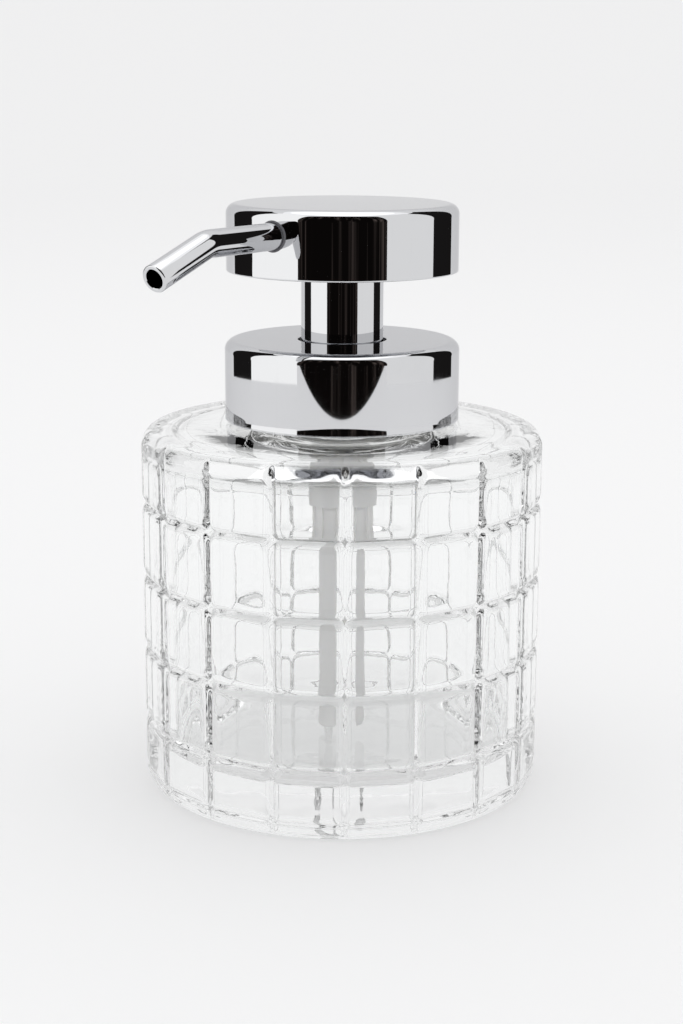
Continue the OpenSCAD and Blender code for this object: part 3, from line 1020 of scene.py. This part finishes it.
@dataclass
class Head(SubAssembly):
    """The disc head with its stem and its spout."""

    wall: float = 0.9 * MM
    top_round: float = 2.2 * MM
    foot_ease: float = 0.25 * MM
    sleeve_wall: float = 0.7 * MM
    plate_gap: float = 0.02 * MM
    spout_r: float = 2.9 * MM
    spout_wall: float = 0.9 * MM
    spout_run: float = 20.3 * MM
    spout_drop: float = 15.7 * MM
    spout_slope: float = math.radians(19.0)
    spout_lip: float = 0.36 * MM
    bore_lip: float = 0.12 * MM
    bend_r: float = 9.0 * MM
    bush_wall: float = 0.45 * MM
    bush_proud: float = 0.2 * MM
    bush_depth: float = 2.2 * MM

    def _spout_height(self) -> float:
        """The height of the spout's centre line where it leaves the head."""
        low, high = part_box("spout_bush")
        return (low.z + high.z) / 2

    def _shell(self) -> Object:
        """The chromed cup of the head, with the hole for the spout.

        Returns:
            The finished shell.
        """
        low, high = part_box("head_shell")
        r, ease = high.x, self.foot_ease
        centre = (r - self.top_round, high.z - self.top_round)
        outline = [
            (0.0, high.z),
            *arc(centre, self.top_round, 90, 0, 14),
            *arc((r - ease, low.z + ease), ease, 0, -90, 4),
            *arc((r - self.wall + ease, low.z + ease), ease, -90, -180, 4),
            *arc(centre, self.top_round - self.wall, 0, 90, 6),
            (0.0, high.z - self.wall),
        ]
        shell = turned("head_cover", held_edges(outline), 320)
        clear_selection()
        bpy.ops.mesh.primitive_cylinder_add(
            vertices=96, radius=self.spout_r + self.bush_wall, depth=8 * MM,
            location=(0, -r, self._spout_height()), rotation=(math.pi / 2, 0, 0),
        )
        drill = bpy.context.object
        apply_modifier(shell, "BOOLEAN", operation="DIFFERENCE", object=drill, solver="EXACT")
        bpy.data.objects.remove(drill)
        return settle(shell)

    def _spout(self) -> Object:
        """The spout: a ring drawn out of the head, spun round the bend and drawn on to the tip.

        Returns:
            The finished spout.
        """
        inner_y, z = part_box("spout_tube")[1].y, self._spout_height()
        bend_y = -(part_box("head_shell")[1].x + self.spout_run)
        pivot = Vector((0, bend_y, z - self.bend_r))
        bore_r, run, drop = self.spout_r - self.spout_wall, inner_y - bend_y, self.spout_drop - self.spout_lip
        ring = DrawnRing.start("spout", self.spout_r, Vector((0, inner_y, z)))
        with editing(ring.obj, whole=True):
            ring.go(run, steps=6)
            ring.bend(self.spout_slope, pivot)
            ring.go(drop, steps=4)
            for outer_r, past in arc((self.spout_r - self.spout_lip, 0.0), self.spout_lip, 15, 90, 5):
                ring.go(ring.left_to(drop + past, pivot), outer_r)
            ring.go(0.0, bore_r + self.bore_lip)
            ring.go(-self.bore_lip, bore_r)
            ring.go(self.bore_lip - self.spout_drop, steps=4)
            ring.bend(-self.spout_slope, pivot)
            ring.go(-run, steps=6)
            ring.go(0.0, self.spout_r)
        merge_seams(ring.obj)
        return settle(ring.obj, 40.0)

    def _flat_ring(self, name: str, node: str, r_in: float, gap: float, ease: float, sides: int) -> Object:
        """A square-edged ring as high as its node: the stem, or the plate under the head.

        Args:
            name: The piece's name.
            node: The node it stands for.
            r_in: Its inner radius.
            gap: How far it stays inside the node's outer radius.
            ease: The radius of its edges.
            sides: How many sides it has.

        Returns:
            The finished ring.
        """
        low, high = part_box(node)
        outline = box_outline(high.x - gap, r_in, low.z, high.z, ease)
        return settle(turned(name, held_edges(outline), sides))

    def _bush(self) -> Object:
        """The thin ring round the spout where it enters the head.

        Returns:
            The finished ring.
        """
        shell_r, r_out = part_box("head_shell")[1].x, self.spout_r + self.bush_wall - 0.01 * MM
        front = -(math.sqrt(shell_r**2 - self.spout_r**2) + self.bush_proud)
        outline = box_outline(r_out, self.spout_r, 0.0, self.bush_depth, 0.08 * MM)
        bush = turned("spout_ring", outline, 96)
        bush.rotation_euler = (math.pi / 2, 0, 0)
        bush.location = (0, front + self.bush_depth, self._spout_height())
        return settle(bush)

    def build(self) -> None:
        """Make the head's shell, plate, stem, spout and ring."""
        self.keep(self._shell(), Slot.CHROME, "head_shell")
        stem_r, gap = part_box("stem_sleeve")[1].x, self.plate_gap
        plate = self._flat_ring("head_underplate", "head_base_plate", stem_r + gap, gap, 0.2 * MM, 256)
        self.keep(plate, Slot.CHROME, "head_base_plate")
        stem = self._flat_ring("stem", "stem_sleeve", stem_r - self.sleeve_wall, 0.0, 0.15 * MM, 192)
        self.keep(stem, Slot.CHROME, "stem_sleeve")
        self.keep(self._spout(), Slot.CHROME, "spout_tube")
        self.keep(self._bush(), Slot.SEAL_RUBBER, "spout_bush")


@dataclass
class ReturnSpring(SubAssembly):
    """The spring that lifts the head: round wire, closed at both ends."""

    wire: float = 1.1 * MM
    turns: int = 7

    def build(self) -> None:
        """Coil the wire with a Screw modifier, and give the coil a mesh of its own."""
        low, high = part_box("return_spring")
        wire_r, height = self.wire / 2, high.z - low.z
        obj = circle("spring_coil", 14, wire_r, (high.x - wire_r, 0, low.z + wire_r), math.pi / 2)
        coiled(obj, self.turns, height - self.wire, 48 * self.turns)
        self.keep(settle(obj, 60.0), Slot.SPRING_STEEL, "return_spring")
        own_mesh(obj)


@dataclass
class CarriedNodes:
    """CAD nodes whose shapes are right as they are, and only need a finish."""

    slots: dict[str, Slot] = field(default_factory=lambda: {
        "closure_ring": Slot.WHITE_PLASTIC,
        "neck_gasket": Slot.GASKET_FOAM,
        "pump_housing": Slot.NATURAL_PLASTIC,
        "housing_cap": Slot.WHITE_PLASTIC,
        "rod_wiper": Slot.SEAL_RUBBER,
        "ball_cage": Slot.NATURAL_PLASTIC,
        "inlet_ball": Slot.BALL_STEEL,
        "dip_tube": Slot.NATURAL_PLASTIC,
        "piston_rod": Slot.WHITE_PLASTIC,
        "piston": Slot.WHITE_PLASTIC,
        "rod_end": Slot.WHITE_PLASTIC,
        "head_core": Slot.WHITE_PLASTIC,
        "spout_seal": Slot.SEAL_RUBBER,
    })

    def dress(self) -> None:
        """Give each node its finish."""
        for node, slot in self.slots.items():
            dress_in(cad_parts[node], slot)
            LOG.info("%s keeps its shape, in %s", node, slot.value)


# Studio


@dataclass(frozen=True)
class Card:
    """An upright studio card on an arc round the object, which only mirrors see.

    A card of cloth is flat and not curved, has faint streaks, and is seen through glass as well.
    """

    name: str
    start_deg: float
    end_deg: float
    radius: float
    high: float
    glow: Colour
    strength: float = 1.0
    cloth: bool = False


@dataclass
class Studio:
    """Pale floor and backdrop, soft light, the cards that the chrome mirrors, and the camera."""

    azimuth: float = 35.0
    distance: float = 0.42813
    height: float = 0.16149
    pitch: float = 13.122
    roll: float = 0.211
    focal_px: float = 1937.25
    frame_px: tuple[int, int] = (683, 1024)
    sensor: float = 24.0
    cards: tuple[Card, ...] = (
        Card("dark_front", -43, 43, 0.504, 0.9, (0.004, 0.0032, 0.003), cloth=True),
        Card("light_left", -97, -43, 0.60, 1.0, (1.0, 1.0, 0.99), 1.25),
        Card("light_right", 43, 98, 0.60, 1.0, (1.0, 1.0, 1.0), 0.95),
        Card("dark_left", -130, -97, 0.60, 0.9, (0.012, 0.011, 0.011)),
        Card("dark_right", 98, 132, 0.60, 0.9, (0.012, 0.011, 0.011)),
    )
    card_step_deg: float = 4.0
    streaks: Colour = (0.12, 0.095, 0.086)
    # painted light: the paler colour that the cloth is painted where it is seen through glass
    cloth_painted_light_in_glass: Colour = (0.2, 0.2, 0.2)
    disc_r: float = 0.5
    disc_z: float = 1.1
    disc_glow: float = 1.6
    floor_r: float = 1.6
    floor_albedo: float = 0.93
    sweep_gap: float = 0.4
    sweep_r: float = 0.9
    sweep_top: float = 2.2
    sky: Colour = (0.925, 0.925, 0.93)
    lamp_z: float = 1.3
    lamp_size: float = 1.4
    lamp_watts: float = 2.0

    def _toward(self, deg: float, radius: float, z: float) -> Vector:
        """A place this many degrees from the camera's direction, counted towards its right."""
        a = math.radians(self.azimuth + deg)
        return Vector((radius * math.sin(a), -radius * math.cos(a), z))

    def _cloth(self, wires: Wiring, colour: Colour) -> Socket:
        """Dark hung cloth with faint warm upright streaks.

        Args:
            wires: The wiring of the cloth's material.
            colour: The cloth's own colour.

        Returns:
            The cloth's colour, painted paler where it is seen through glass: painted light that stands in for
            the room light the glass gathers.
        """
        drawn_out = wires.node("Mapping", {"Vector": wires.place(), "Scale": (1.0, 1.0, 0.1)}).outputs[0]
        folds = wires.span(wires.noise(drawn_out, scale=15.0, detail=3.0, rough=0.55), 0.48, 0.74)
        # painted light: seen through glass, the cloth is painted paler, standing in for the room light that
        # glass bends into one place
        in_glass = wires.node("LightPath").outputs["Is Transmission Ray"]
        return wires.tint(in_glass, wires.tint(folds, colour, self.streaks), self.cloth_painted_light_in_glass)

    def _glowing(self, name: str, colour: Colour, strength: float, cloth: bool = False) -> Material:
        """An emitting material.

        Args:
            name: Its name.
            colour: The light's colour.
            strength: The light's strength.
            cloth: Whether it is streaked, as hung cloth is.

        Returns:
            The material.
        """
        material, wires, shader = fresh_material(name)
        wires.tree.nodes.remove(shader)
        light = self._cloth(wires, colour) if cloth else (*colour, 1.0)
        glow = wires.node("Emission", {"Color": light, "Strength": strength})
        wires.feed(wires.tree.nodes["Material Output"], {"Surface": glow.outputs[0]})
        return material

    def _stand_card(self, card: Card) -> None:
        """Put up one card.

        Args:
            card: What it is and where it stands.
        """
        steps = max(4, round((card.end_deg - card.start_deg) / self.card_step_deg))
        places = []
        for i in range(steps + 1):
            deg = card.start_deg + (card.end_deg - card.start_deg) * i / steps
            reach = card.radius / math.cos(math.radians(deg)) if card.cloth else card.radius
            places += [self._toward(deg, reach, z).to_tuple() for z in (0.0, card.high)]
        faces = [(2 * i, 2 * i + 2, 2 * i + 3, 2 * i + 1) for i in range(steps)]
        mesh = bpy.data.meshes.new(card.name)
        mesh.from_pydata(places, [], faces)
        obj = bpy.data.objects.new(card.name, mesh)
        bpy.context.scene.collection.objects.link(obj)
        mesh.materials.append(self._glowing(card.name, card.glow, card.strength, card.cloth))
        self._only_mirrored(obj, card.cloth)

    def _only_mirrored(self, obj: Object, in_glass: bool = False) -> None:
        """Let only mirrors see a stage object, and glass too where it should.

        Args:
            obj: The stage object.
            in_glass: Whether it is also seen through glass.
        """
        obj.visible_camera = obj.visible_diffuse = obj.visible_shadow = False
        obj.visible_transmission = in_glass

    def _overhead(self) -> None:
        """Hang the bright disc that the rounded edges mirror as a thin highlight."""
        disc = circle("overhead_disc", 48, self.disc_r, (0, 0, self.disc_z), fill="NGON")
        disc.data.materials.append(self._glowing("overhead_disc", (1.0, 1.0, 1.0), self.disc_glow))
        self._only_mirrored(disc)

    def _floor(self) -> None:
        """Lay the pale floor and raise it all round into a seamless backdrop."""
        material, wires, shader = fresh_material("studio_floor")
        albedo = self.floor_albedo
        wires.feed(shader, {
            "Base Color": (albedo, albedo, albedo, 1.0), "Roughness": 0.9, "Specular IOR Level": 0.1,
        })
        floor = circle("studio_floor", 128, self.floor_r, (0, 0, 0), fill="NGON")
        centre = (self.floor_r + self.sweep_gap, self.sweep_r)
        top = (centre[0] + self.sweep_r, self.sweep_top)
        outline = [(self.floor_r, 0.0), *arc(centre, self.sweep_r, -90, 0, 24), top]
        sweep = turned("studio_sweep", outline, 128)
        sweep.visible_diffuse = sweep.visible_shadow = False
        for obj in (floor, sweep):
            obj.data.materials.append(material)
            settle(obj)

    def _sky(self) -> None:
        """Fill the room with even, pale light."""
        world = bpy.data.worlds.new("studio")
        bpy.context.scene.world = world
        world.use_nodes = True
        background = world.node_tree.nodes["Background"]
        Wiring(world.node_tree).feed(background, {"Color": (*self.sky, 1.0), "Strength": 1.0})

    def _lamp(self) -> None:
        """Hang one large soft lamp straight over the object."""
        data = bpy.data.lights.new("top_light", "AREA")
        data.size = self.lamp_size
        data.energy = self.lamp_watts
        lamp = bpy.data.objects.new("top_light", data)
        place = Vector((0.0, 0.0, self.lamp_z))
        lamp.location = place
        lamp.rotation_euler = (Vector((0, 0, 0.07)) - place).to_track_quat("-Z", "Y").to_euler()
        bpy.context.scene.collection.objects.link(lamp)

    def _camera(self) -> None:
        """Stand the camera where it sees the object from above its front."""
        data = bpy.data.cameras.new("camera")
        data.sensor_fit = "VERTICAL"
        data.sensor_height = self.sensor
        data.lens = self.focal_px / self.frame_px[1] * data.sensor_height
        data.clip_start = 0.01
        data.dof.use_dof = False
        camera = bpy.data.objects.new("camera", data)
        camera.location = self._toward(0.0, self.distance, self.height)
        camera.rotation_mode = "XYZ"
        camera.rotation_euler = (math.radians(90.0 - self.pitch), 0.0, math.radians(self.azimuth))
        tilt = camera.rotation_euler.to_matrix()
        camera.rotation_euler = (tilt @ Matrix.Rotation(math.radians(self.roll), 3, "Z")).to_euler("XYZ")
        bpy.context.scene.collection.objects.link(camera)
        bpy.context.scene.camera = camera


    def build(self) -> None:
        """Set up floor, light, cards and camera."""
        self._sky()
        self._floor()
        for card in self.cards:
            self._stand_card(card)
        self._overhead()
        self._lamp()
        self._camera()
        scene = bpy.context.scene
        scene.view_settings.view_transform = "Standard"
        scene.cycles.max_bounces = 24
        scene.cycles.transmission_bounces = 20
        scene.cycles.glossy_bounces = 10
        scene.cycles.transparent_max_bounces = 16


def main() -> None:
    """Build every sub-assembly in order, and note the sizes."""
    logging.basicConfig(level=logging.INFO, format="%(name)s: %(message)s")
    assemblies: list[SubAssembly] = [
        Bottle(Body.GLASS), Collar(Body.COLLAR), Head(Body.HEAD), ReturnSpring(Body.ENGINE),
    ]
    for assembly in assemblies:
        start = time.time()
        assembly.build()
        LOG.info("took %.1f s", time.time() - start)
        assembly.report()
    CarriedNodes().dress()
    Studio().build()
    bpy.context.view_layer.update()


if __name__ == "__main__":
    main()
